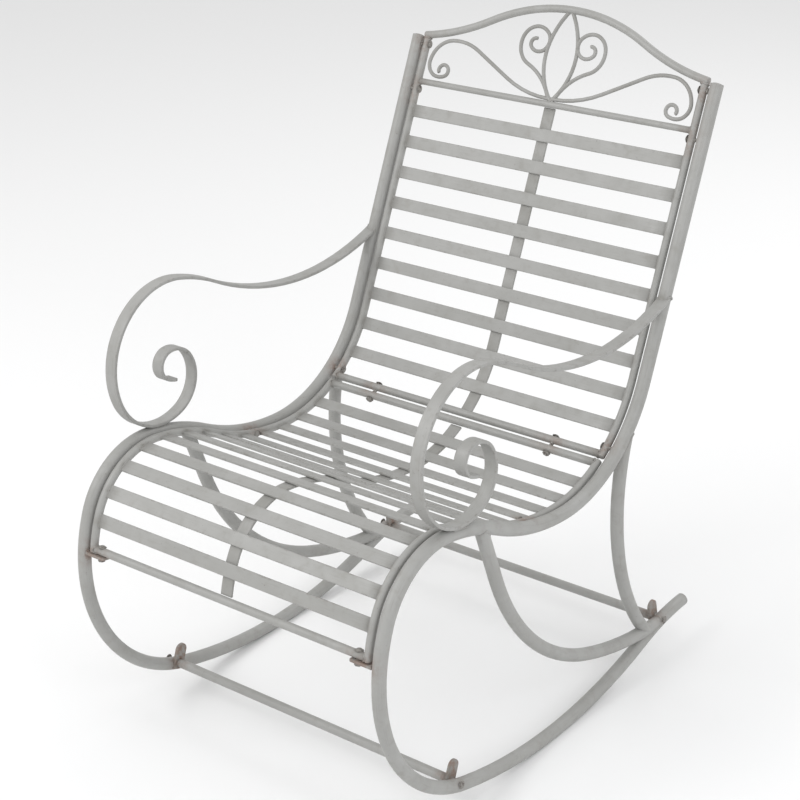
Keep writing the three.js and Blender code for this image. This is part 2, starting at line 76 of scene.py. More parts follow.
# ---- Panels ----
PANEL_GAP = 3.5
RAIL_RADIUS = 6
SLAT_WIDTH, SLAT_THICKNESS = 20, 4
STRAP_WIDTH, STRAP_THICKNESS, STRAP_GAP = 20, 4, 0.8
BACK_SLATS, FIRST_BACK_SLAT_GAP, LAST_BACK_SLAT_GAP = 9, 48, 48
BACK_RAIL_AT = 570
PANEL_JOINT = 16.5
SEAT_SLATS, SEAT_LENGTH, FIRST_SEAT_SLAT_GAP, LAST_SEAT_SLAT_GAP = 13, 614, 43, 43.5

# ---- Crest ----
CREST_SHOULDER, CREST_CROWN = (386, 19), (307, -54.6)
CREST_RAIL_DROP, CREST_RAIL_RADIUS = 74, 5
SCROLL_RADIUS = 3
LEAF_HEADING, LEAF_BENDS = 48, [(95, 56), (118, 28)]
HEART_HEADING, HEART_START = 62.4, (7.7, 12.3)
HEART_BENDS = [(93, -40.8), (33.6, 81.6), (26.7, 122), (17.9, 182), (8.4, 150)]
OUTER_START, OUTER_SHRINK = 5, 0.975
OUTER_BENDS = [(186, 27.5), (75,), (91, -34.5), (43, -75), (22, -88), (29, -34), (9.5, -240), (5.5, -60)]

# ---- Stretchers, lugs, brackets and fasteners ----
STRETCHER_RADIUS, STRETCHER_RISE = 7, 5
FRONT_STRETCHER_AT, REAR_STRETCHER_FROM_TAIL = 1541, 72
LUG_WIDTH, LUG_THICKNESS, LUG_TOP, LUG_DROP, WELD_DEPTH = 20, 5, 36, 5, 2
BRACKET_THICKNESS, BRACKET_WIDTH, BRACKET_REACH = 4, 16, 38
CLEARANCE = 0.3
BOLT_RADIUS, BOLT_HEAD_RADIUS, BOLT_HEAD_HEIGHT, NUT_HEIGHT = 3, 5, 3, 4
BOLT_GRIP, BOLT_END_GAP, RAIL_BOLT_OFFSET = 13, 1, 13
JOINT_BOLT_X, BRACKET_BOLT_FROM_RAIL = 170, 16

# ---- Detail that only the looks have ----
TUBE_SIDES, RAIL_SIDES, SCROLL_SIDES, BEAD_SIDES = 32, 24, 14, 8
TURN_STEP, SCROLL_TURN_STEP, STRAIGHT_STEP = 2.5, 6.0, 25.0
BAR_CORNER, BAR_MARGIN = 1.1, 1.6
BEAD_RADIUS, BEAD_RIPPLE, BEAD_PITCH = 1.5, 0.16, 3.2
EMBED = 1.5  # how far a bar's end is drawn into what it is welded to
CAP_RIM, CAP_GROOVE = 1.6, 0.45  # the pressed cap in the open end of a tube

WELD_STEP = 1.4  # between the points of a straight weld bead
WELD_REACH = TUBE_RADIUS + 0.35  # from a tube's axis to the bead round a branch
SIDE_X = SIDE_SPACING / 2
STRETCHER_HALF = SIDE_X - TUBE_RADIUS + WELD_DEPTH - LUG_THICKNESS - CLEARANCE
RAIL_X = SIDE_X - TUBE_RADIUS - PANEL_GAP - RAIL_RADIUS
SIDES = (("left", 1), ("right", -1))


# ---- Paths ----
def piece_length(piece):
    return piece[0] if len(piece) == 1 else piece[0] * math.radians(abs(piece[1]))


def scaled(pieces, factor):
    return [(piece[0] * factor, *piece[1:]) for piece in pieces]


class Bends:
    """Straights and arcs in a plane, as a tube bender makes them. The heading is in degrees."""

    def __init__(self, start, heading, pieces):
        self.pieces = pieces
        self.joints = [(0.0, *start, math.radians(heading))]
        for piece in pieces:
            s = self.joints[-1][0] + piece_length(piece)
            self.joints.append((s, *self._advance(self.joints[-1], piece, piece_length(piece))))
        self.length = self.joints[-1][0]

    @staticmethod
    def _advance(joint, piece, run):
        _, a, b, heading = joint
        turn = 0.0 if len(piece) == 1 else math.copysign(run / piece[0], piece[1])
        chord = run if abs(turn) < 1e-12 else run * math.sin(turn / 2) / (turn / 2)
        middle = heading + turn / 2
        return a + chord * math.cos(middle), b + chord * math.sin(middle), heading + turn

    def at(self, s):
        """Plane coordinates and heading at a distance along the path; it runs on straight past its ends."""
        if s < 0 or s > self.length:
            joint = self.joints[0] if s < 0 else self.joints[-1]
            return self._advance(joint, (1.0,), s - joint[0])
        for joint, piece in zip(self.joints, self.pieces):
            if s <= joint[0] + piece_length(piece):
                return self._advance(joint, piece, s - joint[0])
        return self.joints[-1][1:]

    def stations(self, start, end, turn_step, straight_step=STRAIGHT_STEP):
        """Distances between start and end that follow each bend closely."""
        found = [start]
        for joint, piece in zip(self.joints, self.pieces):
            length = piece_length(piece)
            steps = math.ceil(length / straight_step if len(piece) == 1 else max(abs(piece[1]) / turn_step, 1))
            for i in range(steps + 1):
                s = joint[0] + length * i / steps
                if found[-1] + 0.2 < s < end - 0.2:
                    found.append(s)
        return found + [end]


def bends_between(heading, pieces, start, end, rest=()):
    """Bends turned and scaled so that they run from start to end, with more of them after the end."""
    reach = Bends((0, 0), heading, pieces).joints[-1]
    wanted = (end[0] - start[0], end[1] - start[1])
    factor = math.hypot(*wanted) / math.hypot(reach[1], reach[2])
    turn = math.atan2(wanted[1], wanted[0]) - math.atan2(reach[2], reach[1])
    return Bends(start, heading + math.degrees(turn), scaled([*pieces, *rest], factor))


class PlaneRun:
    """A path laid in a plane of the chair's frame: u and v span the plane and p is its normal."""

    def __init__(self, path, origin, u, v, offset=0.0):
        self.path, self.offset = path, offset
        self.origin, self.u, self.v = (np.array(x, float) for x in (origin, u, v))
        self.normal = np.cross(self.u, self.v)
        self.length = path.length

    def frames(self, s):
        rows = np.array([self.path.at(x) for x in np.atleast_1d(s)])
        a, b, heading = rows[:, 0:1], rows[:, 1:2], rows[:, 2:3]
        left = -np.sin(heading) * self.u + np.cos(heading) * self.v
        centre = self.origin + a * self.u + b * self.v + self.offset * left
        return centre, np.broadcast_to(self.normal, centre.shape), left

    def stations(self, start, end, turn_step):
        return self.path.stations(start, end, turn_step)


class StraightRun:
    """A straight line between two points of the chair's frame. across is one direction of its section."""

    def __init__(self, start, end, across):
        self.start, end = np.array(start, float), np.array(end, float)
        self.length = float(np.linalg.norm(end - self.start))
        self.along = (end - self.start) / self.length
        across = np.array(across, float)
        across = across - self.along * (across @ self.along)
        self.across = across / np.linalg.norm(across)

    def frames(self, s):
        s = np.atleast_1d(np.array(s, float))[:, None]
        centre = self.start + s * self.along
        other = np.cross(self.along, self.across)
        return centre, np.broadcast_to(self.across, centre.shape), np.broadcast_to(other, centre.shape)

    def stations(self, start, end, turn_step):
        return list(np.linspace(start, end, max(2, math.ceil((end - start) / STRAIGHT_STEP) + 1)))


SIDE = Bends((0, 0), -90 - UPRIGHT_LEAN, SIDE_BENDS)
CREST_END = SIDE.joints[SEAT_CREST_PIECES][0]
TAIL = SIDE.length
SEAT_START = BACK_RAIL_AT + PANEL_JOINT
FRONT_RAIL_AT = SEAT_START + SEAT_LENGTH
STRETCHER_AT = {"front": FRONT_STRETCHER_AT, "rear": TAIL - REAR_STRETCHER_FROM_TAIL}
BRACKET_AT = FRONT_RAIL_AT + RAIL_RADIUS + CLEARANCE + BRACKET_THICKNESS / 2


def side_run(x, path=SIDE, offset=0.0):
    return PlaneRun(path, (x, 0, 0), (0, 1, 0), (0, 0, 1), offset)


def crest_run(path, sign=1):
    lean = math.radians(UPRIGHT_LEAN)
    return PlaneRun(path, (0, 0, 0), (sign, 0, 0), (0, math.sin(lean), math.cos(lean)))


def on_side(s, x, offset=0.0):
    """A point beside the side tube's centre line, in the chair's frame, with an offset to the path's left."""
    a, b, heading = SIDE.at(s)
    return np.array([x, a - offset * math.sin(heading), b + offset * math.cos(heading)])


def side_directions(s):
    """Along the side tube's centre line and to its left, at a distance along it."""
    heading = SIDE.at(s)[2]
    along = np.array([0, math.cos(heading), math.sin(heading)])
    return along, np.array([0, -along[2], along[1]])


ARCH_HEADING = -CREST_CROWN[1] / 2 - CREST_SHOULDER[1]
ARCH_BENDS = [CREST_SHOULDER, CREST_CROWN, CREST_SHOULDER]
CREST_HALF_WIDTH = RAIL_X + RAIL_RADIUS
CREST_SCALE = 2 * CREST_HALF_WIDTH / Bends((0, 0), ARCH_HEADING, ARCH_BENDS).joints[-1][1]
CREST_RAIL_AT = CREST_RAIL_DROP * CREST_SCALE


def evenly(count, first, last):
    return [first + (last - first) * i / (count - 1) for i in range(count)]


BACK_SLAT_AT = evenly(BACK_SLATS, CREST_RAIL_AT + FIRST_BACK_SLAT_GAP, BACK_RAIL_AT - LAST_BACK_SLAT_GAP)
SEAT_SLAT_AT = evenly(SEAT_SLATS, SEAT_START + FIRST_SEAT_SLAT_GAP, FRONT_RAIL_AT - LAST_SEAT_SLAT_GAP)
RAIL_BOLT_AT = {"upper": CREST_RAIL_AT + RAIL_BOLT_OFFSET, "lower": BACK_RAIL_AT - RAIL_BOLT_OFFSET}


# ---- From the chair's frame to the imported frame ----
def chair_placement():
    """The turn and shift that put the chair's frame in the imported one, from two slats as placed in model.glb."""
    ends = []
    for node, s in (("back_slat_01", BACK_SLAT_AT[0]), (f"seat_slat_{SEAT_SLATS:02d}", SEAT_SLAT_AT[-1])):
        low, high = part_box(node)
        ends.append((Vector(on_side(s, 0)) * MM, (low + high) / 2))
    (p, p_packed), (q, q_packed) = ends
    angle = math.atan2(q_packed.z - p_packed.z, q_packed.y - p_packed.y) - math.atan2(q.z - p.z, q.y - p.y)
    turn = Matrix.Rotation(angle, 4, "X")
    return Matrix.Translation(p_packed - turn @ p) @ turn


# ---- Sections ----
def circle(radius, sides):
    turns = 2 * math.pi * np.arange(sides) / sides
    return np.stack([radius * np.cos(turns), radius * np.sin(turns), np.zeros(sides)], 1)


def flat_bar(width, thickness, corner=BAR_CORNER, margin=BAR_MARGIN, steps=4):
    """A rounded rectangle: p across it, q through it, and how close to an edge each point is."""
    half_w, half_t = width / 2, thickness / 2
    points = []
    for turn, (sp, sq) in zip((0, 90, 180, 270), ((1, 1), (-1, 1), (-1, -1), (1, -1))):
        arc = []
        for i in range(steps + 1):
            angle = math.radians(turn + 90 * i / steps)
            arc.append((sp * (half_w - corner) + corner * math.cos(angle),
                        sq * (half_t - corner) + corner * math.sin(angle), 1.0))
        inner = (sp * (half_w - corner - margin), sq * half_t, 0.0)
        points += [*arc, inner] if turn in (0, 180) else [inner, *arc]
    return np.array(points)


def shrunk(section, amount):
    """The section with its outline moved in by an amount."""
    out = section.copy()
    if np.ptp(np.hypot(section[:, 0], section[:, 1])) < 1e-6:  # round
        radius = math.hypot(*section[0, :2])
        out[:, :2] *= max(radius - amount, 0.02) / radius
        return out
    for k in (0, 1):
        out[:, k] = np.sign(section[:, k]) * np.maximum(np.abs(section[:, k]) - amount, 0.02)
    return out


def dome(radius, depth):
    """The rings of a domed end: how far each is moved in, and how far forward."""
    turns = [math.radians(d) for d in (15, 32, 50, 68, 82)]
    return [(radius * (1 - math.cos(t)), depth * math.sin(t)) for t in turns]


def pressed_cap():
    """A tube's open end with a pressed cap in it: a rolled rim, a groove and a low dome."""
    edge = TUBE_RADIUS
    return [(0.25, 0.25), (0.7, 0.45), (CAP_RIM, 0.45), (CAP_RIM + 0.2, 0.45 - CAP_GROOVE), (CAP_RIM + 0.5, 0.2),
            (CAP_RIM + 1.0, 0.9), (edge * 0.45, 1.6), (edge * 0.7, 2.0), (edge * 0.9, 2.1)]


CUT_END = [(0.3, 0.15), (0.7, 0.3), (1.2, 0.35)]


# ---- Meshes ----
class Soup:
    """Vertices and faces in the chair's frame, with what the paint needs to know at each vertex."""

    def __init__(self):
        self.points, self.lay, self.edge, self.faces = [], [], [], []
        self.count = 0

    def add(self, points, lay, edge):
        self.points.append(np.asarray(points, float))
        self.lay.append(np.asarray(lay, float))
        self.edge.append(np.asarray(edge, float))
        first = self.count
        self.count += len(points)
        return first

    def ring_faces(self, first, second, sides):
        for i in range(sides):
            j = (i + 1) % sides
            self.faces.append((first + i, first + j, second + j, second + i))

    def fan(self, ring, sides, centre):
        for i in range(sides):
            self.faces.append((ring + i, ring + (i + 1) % sides, centre))

    def sweep(self, run, section, start=None, end=None, caps=(CUT_END, CUT_END), turn_step=TURN_STEP):
        """A bar or tube along a run, from one distance to another, each end closed by its cap's rings."""
        start = 0.0 if start is None else start
        end = run.length if end is None else end
        rings = [(s, 0.0) for s in run.stations(start, end, turn_step)]
        rings = ([(start - ahead, amount) for amount, ahead in reversed(caps[0])] + rings
                 + [(end + ahead, amount) for amount, ahead in caps[1]])
        centres, across, through = run.frames([s for s, _ in rings])
        sides, previous, firsts = len(section), None, []
        for (s, amount), centre, p_dir, q_dir in zip(rings, centres, across, through):
            shape = shrunk(section, amount) if amount else section
            points = centre + shape[:, 0:1] * p_dir + shape[:, 1:2] * q_dir
            lay = np.column_stack([np.full(sides, s), shape[:, 0], shape[:, 1]])
            first = self.add(points, lay, section[:, 2])
            if previous is not None:
                self.ring_faces(previous, first, sides)
            previous = first
            firsts.append(first)
        for k, (first, order) in zip((0, -1), ((firsts[0], -1), (firsts[-1], 1))):
            tip = self.add([centres[k]], [[rings[k][0], 0, 0]], [0.0])
            self.fan(first, sides, tip)
        return self

    def revolve(self, profile, base, axis, sides=28, phase=0.0, edges=None):
        """A turned piece: a profile of (radius, distance along the axis) about the axis through base."""
        axis = np.array(axis, float) / np.linalg.norm(axis)
        helper = np.array([1.0, 0, 0]) if abs(axis[0]) < 0.9 else np.array([0, 1.0, 0])
        u = np.cross(axis, helper)
        u /= np.linalg.norm(u)
        v = np.cross(axis, u)
        turns = phase + 2 * math.pi * np.arange(sides) / sides
        previous = None
        for k, (radius, along) in enumerate(profile):
            radius = max(radius, 0.02)
            ring = (np.array(base) + along * axis + radius * np.cos(turns)[:, None] * u
                    + radius * np.sin(turns)[:, None] * v)
            lay = np.column_stack([np.full(sides, along), radius * np.cos(turns), radius * np.sin(turns)])
            edge = np.full(sides, edges[k] if edges else 0.0)
            first = self.add(ring, lay, edge)
            if previous is not None:
                self.ring_faces(previous, first, sides)
            else:
                tip = self.add([np.array(base) + along * axis], [[along, 0, 0]], [0.0])
                self.fan(first, sides, tip)
            previous = first
        tip = self.add([np.array(base) + profile[-1][1] * axis], [[profile[-1][1], 0, 0]], [0.0])
        self.fan(previous, sides, tip)
        return self

    def bead(self, loop, radius=BEAD_RADIUS, rng=None, closed=True):
        """A rippled weld bead along a loop of points."""
        loop = np.asarray(loop, float)
        count = len(loop)
        before, after = np.roll(loop, 1, 0), np.roll(loop, -1, 0)
        if not closed:
            before[0], after[-1] = loop[0], loop[-1]
        tangent = after - before
        tangent /= np.maximum(np.linalg.norm(tangent, axis=1, keepdims=True), 1e-9)
        middle = loop.mean(0)
        out = loop - middle
        out -= tangent * np.sum(out * tangent, 1, keepdims=True)
        short = np.linalg.norm(out, axis=1) < 0.2
        out[short] = np.cross(tangent[short], [0.3, 0.5, 0.8])
        out /= np.linalg.norm(out, axis=1, keepdims=True)
        side = np.cross(tangent, out)
        steps = np.linalg.norm(np.diff(loop, axis=0, append=loop[:1]), axis=1)
        along = np.concatenate([[0], np.cumsum(steps)[:-1]])
        ripple = BEAD_RIPPLE * np.abs(np.sin(math.pi * along / BEAD_PITCH))
        size = radius * (1 - BEAD_RIPPLE / 2 + ripple) + (rng.normal(0, 0.07, count) if rng is not None else 0)
        if not closed:
            ends = np.minimum(np.arange(count), np.arange(count)[::-1]) / 2.0
            size = size * np.clip(0.35 + ends * 0.4, 0.35, 1)
        turns = 2 * math.pi * np.arange(BEAD_SIDES) / BEAD_SIDES
        firsts = []
        for i in range(count):
            ring = (loop[i] + size[i] * np.cos(turns)[:, None] * out[i]
                    + size[i] * np.sin(turns)[:, None] * side[i])
            lay = np.column_stack([np.full(BEAD_SIDES, along[i]), np.cos(turns), np.sin(turns)])
            firsts.append(self.add(ring, lay, np.full(BEAD_SIDES, 0.3)))
        for i in range(count if closed else count - 1):
            self.ring_faces(firsts[i], firsts[(i + 1) % count], BEAD_SIDES)
        if not closed:
            for first, k in ((firsts[0], 0), (firsts[-1], -1)):
                self.fan(first, BEAD_SIDES, self.add([loop[k]], [[along[k], 0, 0]], [0.3]))
        return self

    def plate(self, outline, thickness, corner, origin, u, v, n):
        """A flat plate: an outline in the plane of u and v, made thick along n, with rounded rims."""
        origin, u, v, n = (np.array(x, float) for x in (origin, u, v, n))
        outline = np.array(outline, float)
        middle = outline.mean(0)
        inward = middle - outline
        inward /= np.linalg.norm(inward, axis=1, keepdims=True)
        half = thickness / 2
        levels = [(corner * 2.2, -half), (corner, -half), (corner * 0.3, -half + corner * 0.3), (0, -half + corner),
                  (0, half - corner), (corner * 0.3, half - corner * 0.3), (corner, half), (corner * 2.2, half)]
        sides, previous = len(outline), None
        for k, (amount, height) in enumerate(levels):
            flat = outline + inward * amount
            points = origin + flat[:, 0:1] * u + flat[:, 1:2] * v + height * n
            lay = np.column_stack([flat, np.full(sides, height)])
            first = self.add(points, lay, np.full(sides, 0.0 if k in (0, len(levels) - 1) else 1.0))
            if previous is None:
                tip = self.add([origin + middle[0] * u + middle[1] * v + height * n], [[*middle, height]], [0.0])
                self.fan(first, sides, tip)
            else:
                self.ring_faces(previous, first, sides)
            previous = first
        tip = self.add([origin + middle[0] * u + middle[1] * v + half * n], [[*middle, half]], [0.0])
        self.fan(previous, sides, tip)
        return self


def spread(points, centres, reach):
    """How close each point is to the nearest centre: 1 at it, falling off over the reach."""
    if not len(centres):
        return np.zeros(len(points))
    nearest = np.full(len(points), 1e9)
    for centre in centres:
        nearest = np.minimum(nearest, np.sum((points - centre) ** 2, 1))
    return np.exp(-nearest / reach**2)


class Builder:
    """Turns soups into Blender pieces that ride on the chair."""

    def __init__(self, placement, materials):
        self.placement, self.materials = placement, materials
        self.rust_centres, self.grime_centres = [], []
        self.made = []

    def piece(self, name, soup, material, slot, stands_for=()):
        points = np.concatenate(soup.points)
        lay, edge = np.concatenate(soup.lay), np.concatenate(soup.edge)
        mesh = bpy.data.meshes.new(name)
        local = np.column_stack([points * MM, np.ones(len(points))])
        placed = (local @ np.array(self.placement).T)[:, :3]
        placed[:, 2] = np.maximum(placed[:, 2], 0)  # each rocker is cut flat where it stands on the floor
        mesh.from_pydata(placed.tolist(), [], soup.faces)
        # The joints' attribute carries grime together with painted shade, darkening where parts meet.
        for key, values in (("edge", edge), ("rust", spread(points, self.rust_centres, 15.0)),
                            ("grime_and_shade", spread(points, self.grime_centres, 7.0))):
            mesh.attributes.new(key, "FLOAT", "POINT").data.foreach_set("value", values.astype(np.float32))
        mesh.attributes.new("lay", "FLOAT_VECTOR", "POINT").data.foreach_set(
            "vector", (lay * MM).astype(np.float32).ravel())
        tidy = bmesh.new()
        tidy.from_mesh(mesh)
        bmesh.ops.recalc_face_normals(tidy, faces=tidy.faces)
        tidy.to_mesh(mesh)
        tidy.free()
        mesh.polygons.foreach_set("use_smooth", [True] * len(mesh.polygons))
        mesh.update()
        thing = bpy.data.objects.new(name, mesh)
        bpy.context.scene.collection.objects.link(thing)
        mesh.materials.append(self.materials[material])
        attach(thing, "root")
        if stands_for:
            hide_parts(*stands_for)
        self.made.append(thing)
        return thing


def exit_loop(run, section, start, end, neighbour, reach, samples=180):
    """Where a bar's surface comes out of a round neighbour, as one loop of points round the bar."""
    stations = np.linspace(start, end, samples)
    centre, across, through = run.frames(stations)
    loop = []
    for p, q, _ in section:
        line = centre + p * across + q * through
        gaps = np.full(samples, np.inf)
        for i in range(0, len(neighbour), 64):
            block = neighbour[i:i + 64]
            gaps = np.minimum(gaps, np.linalg.norm(line[:, None] - block[None], axis=2).min(1))
        inside = np.nonzero(gaps < reach)[0]
        k = inside[-1] if len(inside) else 0
        if k + 1 < samples:
            share = (reach - gaps[k]) / max(gaps[k + 1] - gaps[k], 1e-9) if len(inside) else 0.0
            loop.append(line[k] * (1 - share) + line[k + 1] * share)
        else:
            loop.append(line[k])
    return np.array(loop)


def centre_points(run, start, end, spacing=0.8):
    return run.frames(np.arange(start, end, spacing))[0]


# ---- Materials ----
class Nodes:
    """A shorthand for a material's node tree."""

    def __init__(self, name):
        self.material = bpy.data.materials.new(name)
        self.material.use_nodes = True
        self.tree = self.material.node_tree
        self.shader = next(n for n in self.tree.nodes if n.type == "BSDF_PRINCIPLED")

    def new(self, kind, **inputs):
        node = self.tree.nodes.new(kind)
        for key, value in inputs.items():
            self.put(node.inputs[key.replace("_", " ")] if key.replace("_", " ") in node.inputs else
                     node.inputs[int(key[1:])], value)
        return node

    def put(self, socket, value):
        if isinstance(value, bpy.types.NodeSocket):
            self.tree.links.new(value, socket)
        else:
            socket.default_value = value

    def attribute(self, name, vector=False):
        node = self.tree.nodes.new("ShaderNodeAttribute")
        node.attribute_name = name
        return node.outputs["Vector" if vector else "Fac"]

    def noise(self, vector, scale, detail=3.0, roughness=0.55, distortion=0.0):
        node = self.new("ShaderNodeTexNoise", Vector=vector, Scale=scale, Detail=detail, Roughness=roughness,
                        Distortion=distortion)
        return node.outputs["Fac"]

    def ramp(self, value, low, high, to_low=0.0, to_high=1.0):
        node = self.tree.nodes.new("ShaderNodeMapRange")
        node.interpolation_type = "SMOOTHSTEP"
        for socket, x in zip(node.inputs[:5], (value, low, high, to_low, to_high)):
            self.put(socket, x)
        return node.outputs[0]

    def maths(self, operation, a, b=0.0):
        node = self.tree.nodes.new("ShaderNodeMath")
        node.operation = operation
        self.put(node.inputs[0], a)
        self.put(node.inputs[1], b)
        return node.outputs[0]

    def stretched(self, vector, factors):
        node = self.tree.nodes.new("ShaderNodeVectorMath")
        node.operation = "MULTIPLY"
        self.put(node.inputs[0], vector)
        node.inputs[1].default_value = factors
        return node.outputs[0]

    def mix(self, share, a, b):
        node = self.tree.nodes.new("ShaderNodeMix")
        node.data_type = "RGBA"
        for socket, x in ((node.inputs[0], share), (node.inputs[6], a), (node.inputs[7], b)):
            self.put(socket, x)
        return node.outputs[2]

    def bump(self, height, strength, distance, normal=None):
        node = self.new("ShaderNodeBump", Height=height, Strength=strength, Distance=distance)
        if normal is not None:
            self.put(node.inputs["Normal"], normal)
        return node.outputs["Normal"]


PAINT = (0.31, 0.308, 0.294, 1)
PAINT_LIGHT = (0.365, 0.363, 0.352, 1)
PAINT_WARM = (0.255, 0.246, 0.222, 1)
WASH = (0.155, 0.144, 0.125, 1)
RUST = (0.19, 0.105, 0.07, 1)
RUST_DARK = (0.06, 0.04, 0.033, 1)


def painted_iron(name, tone=PAINT, rust=1.0, hammered=0.35, wear=0.5):
    """Old grey-white paint on iron: streaks along the bar, a brown wash with painted shade darkening the joints,
    rust at the bolts.
    """
    n = Nodes(name)
    where = n.tree.nodes.new("ShaderNodeTexCoord").outputs["Object"]
    lay = n.attribute("lay", vector=True)
    cloud = n.noise(where, 14.0, 4.0, 0.6)
    patch = n.noise(where, 62.0, 5.0, 0.62)
    grain = n.noise(where, 700.0, 2.0, 0.6)
    streak = n.noise(n.stretched(lay, (28.0, 620.0, 620.0)), 1.0, 3.0, 0.6)

    colour = n.mix(n.ramp(cloud, 0.35, 0.68, 0.0, 0.55), tone, PAINT_LIGHT)
    colour = n.mix(n.ramp(patch, 0.5, 0.74, 0.0, 0.38), colour, PAINT_WARM)
    colour = n.mix(n.ramp(streak, 0.52, 0.8, 0.0, 0.24), colour, WASH)
    # Grime and painted shade: the joints between parts are darkened towards the brown wash.
    grime_and_shade = n.maths("MULTIPLY", n.attribute("grime_and_shade"), n.ramp(patch, 0.3, 0.65, 0.25, 0.85))
    colour = n.mix(grime_and_shade, colour, WASH)
    chips = n.ramp(n.noise(where, 120.0, 4.0, 0.7), 0.52, 0.7, 0.0, wear)
    worn = n.maths("MULTIPLY", n.attribute("edge"), chips)
    colour = n.mix(worn, colour, WASH)
    speck = n.ramp(n.noise(where, 260.0, 3.0, 0.7), 0.67, 0.74, 0.0, 0.5)
    colour = n.mix(speck, colour, RUST_DARK)
    bloom = n.ramp(n.noise(where, 95.0, 5.0, 0.7), 0.36, 0.62, 0.05, 0.8)
    rusty = n.maths("MULTIPLY", n.attribute("rust"), bloom)
    rusty = n.maths("MULTIPLY", rusty, rust)
    colour = n.mix(rusty, colour, RUST)
    n.put(n.shader.inputs["Base Color"], colour)
    rough = n.maths("ADD", n.ramp(patch, 0.3, 0.75, 0.42, 0.6), n.maths("MULTIPLY", rusty, 0.3))
    n.put(n.shader.inputs["Roughness"], rough)
    n.shader.inputs["Specular IOR Level"].default_value = 0.42
    n.shader.inputs["Metallic"].default_value = 0.0

    dents = n.bump(n.noise(where, 95.0, 2.0, 0.5), hammered, 0.0006)
    brushed = n.bump(streak, 0.35, 0.00025, dents)
    n.put(n.shader.inputs["Normal"], n.bump(grain, 0.25, 0.0002, brushed))
    return n.material


def weathered_bolt(name):
    """Steel fasteners under thin paint that has rusted through."""
    n = Nodes(name)
    where = n.tree.nodes.new("ShaderNodeTexCoord").outputs["Object"]
    patch = n.noise(where, 240.0, 5.0, 0.7)
    fine = n.noise(where, 900.0, 3.0, 0.6)
    colour = n.mix(n.ramp(patch, 0.5, 0.66), (0.25, 0.238, 0.22, 1), RUST_DARK)
    colour = n.mix(n.ramp(fine, 0.55, 0.75, 0.0, 0.7), colour, RUST_DARK)
    n.put(n.shader.inputs["Base Color"], colour)
    n.put(n.shader.inputs["Roughness"], n.ramp(patch, 0.3, 0.7, 0.45, 0.8))
    n.shader.inputs["Metallic"].default_value = 0.25
    n.put(n.shader.inputs["Normal"], n.bump(fine, 0.5, 0.0002))
    return n.material


def floor_material():
    n = Nodes("pale_floor")
    n.shader.inputs["Base Color"].default_value = (0.86, 0.86, 0.86, 1)
    n.shader.inputs["Roughness"].default_value = 0.9
    n.shader.inputs["Specular IOR Level"].default_value = 0.1
    return n.material


# ---- The side frames ----
def lug_outline():
    half = LUG_WIDTH / 2
    arc = [math.radians(180 * i / 14) for i in range(15)]
    top = [(half * math.cos(t), LUG_TOP - half + half * math.sin(t)) for t in arc]
    return [(-half, -LUG_DROP), (-half / 3, -LUG_DROP), (half / 3, -LUG_DROP), (half, -LUG_DROP), *top]


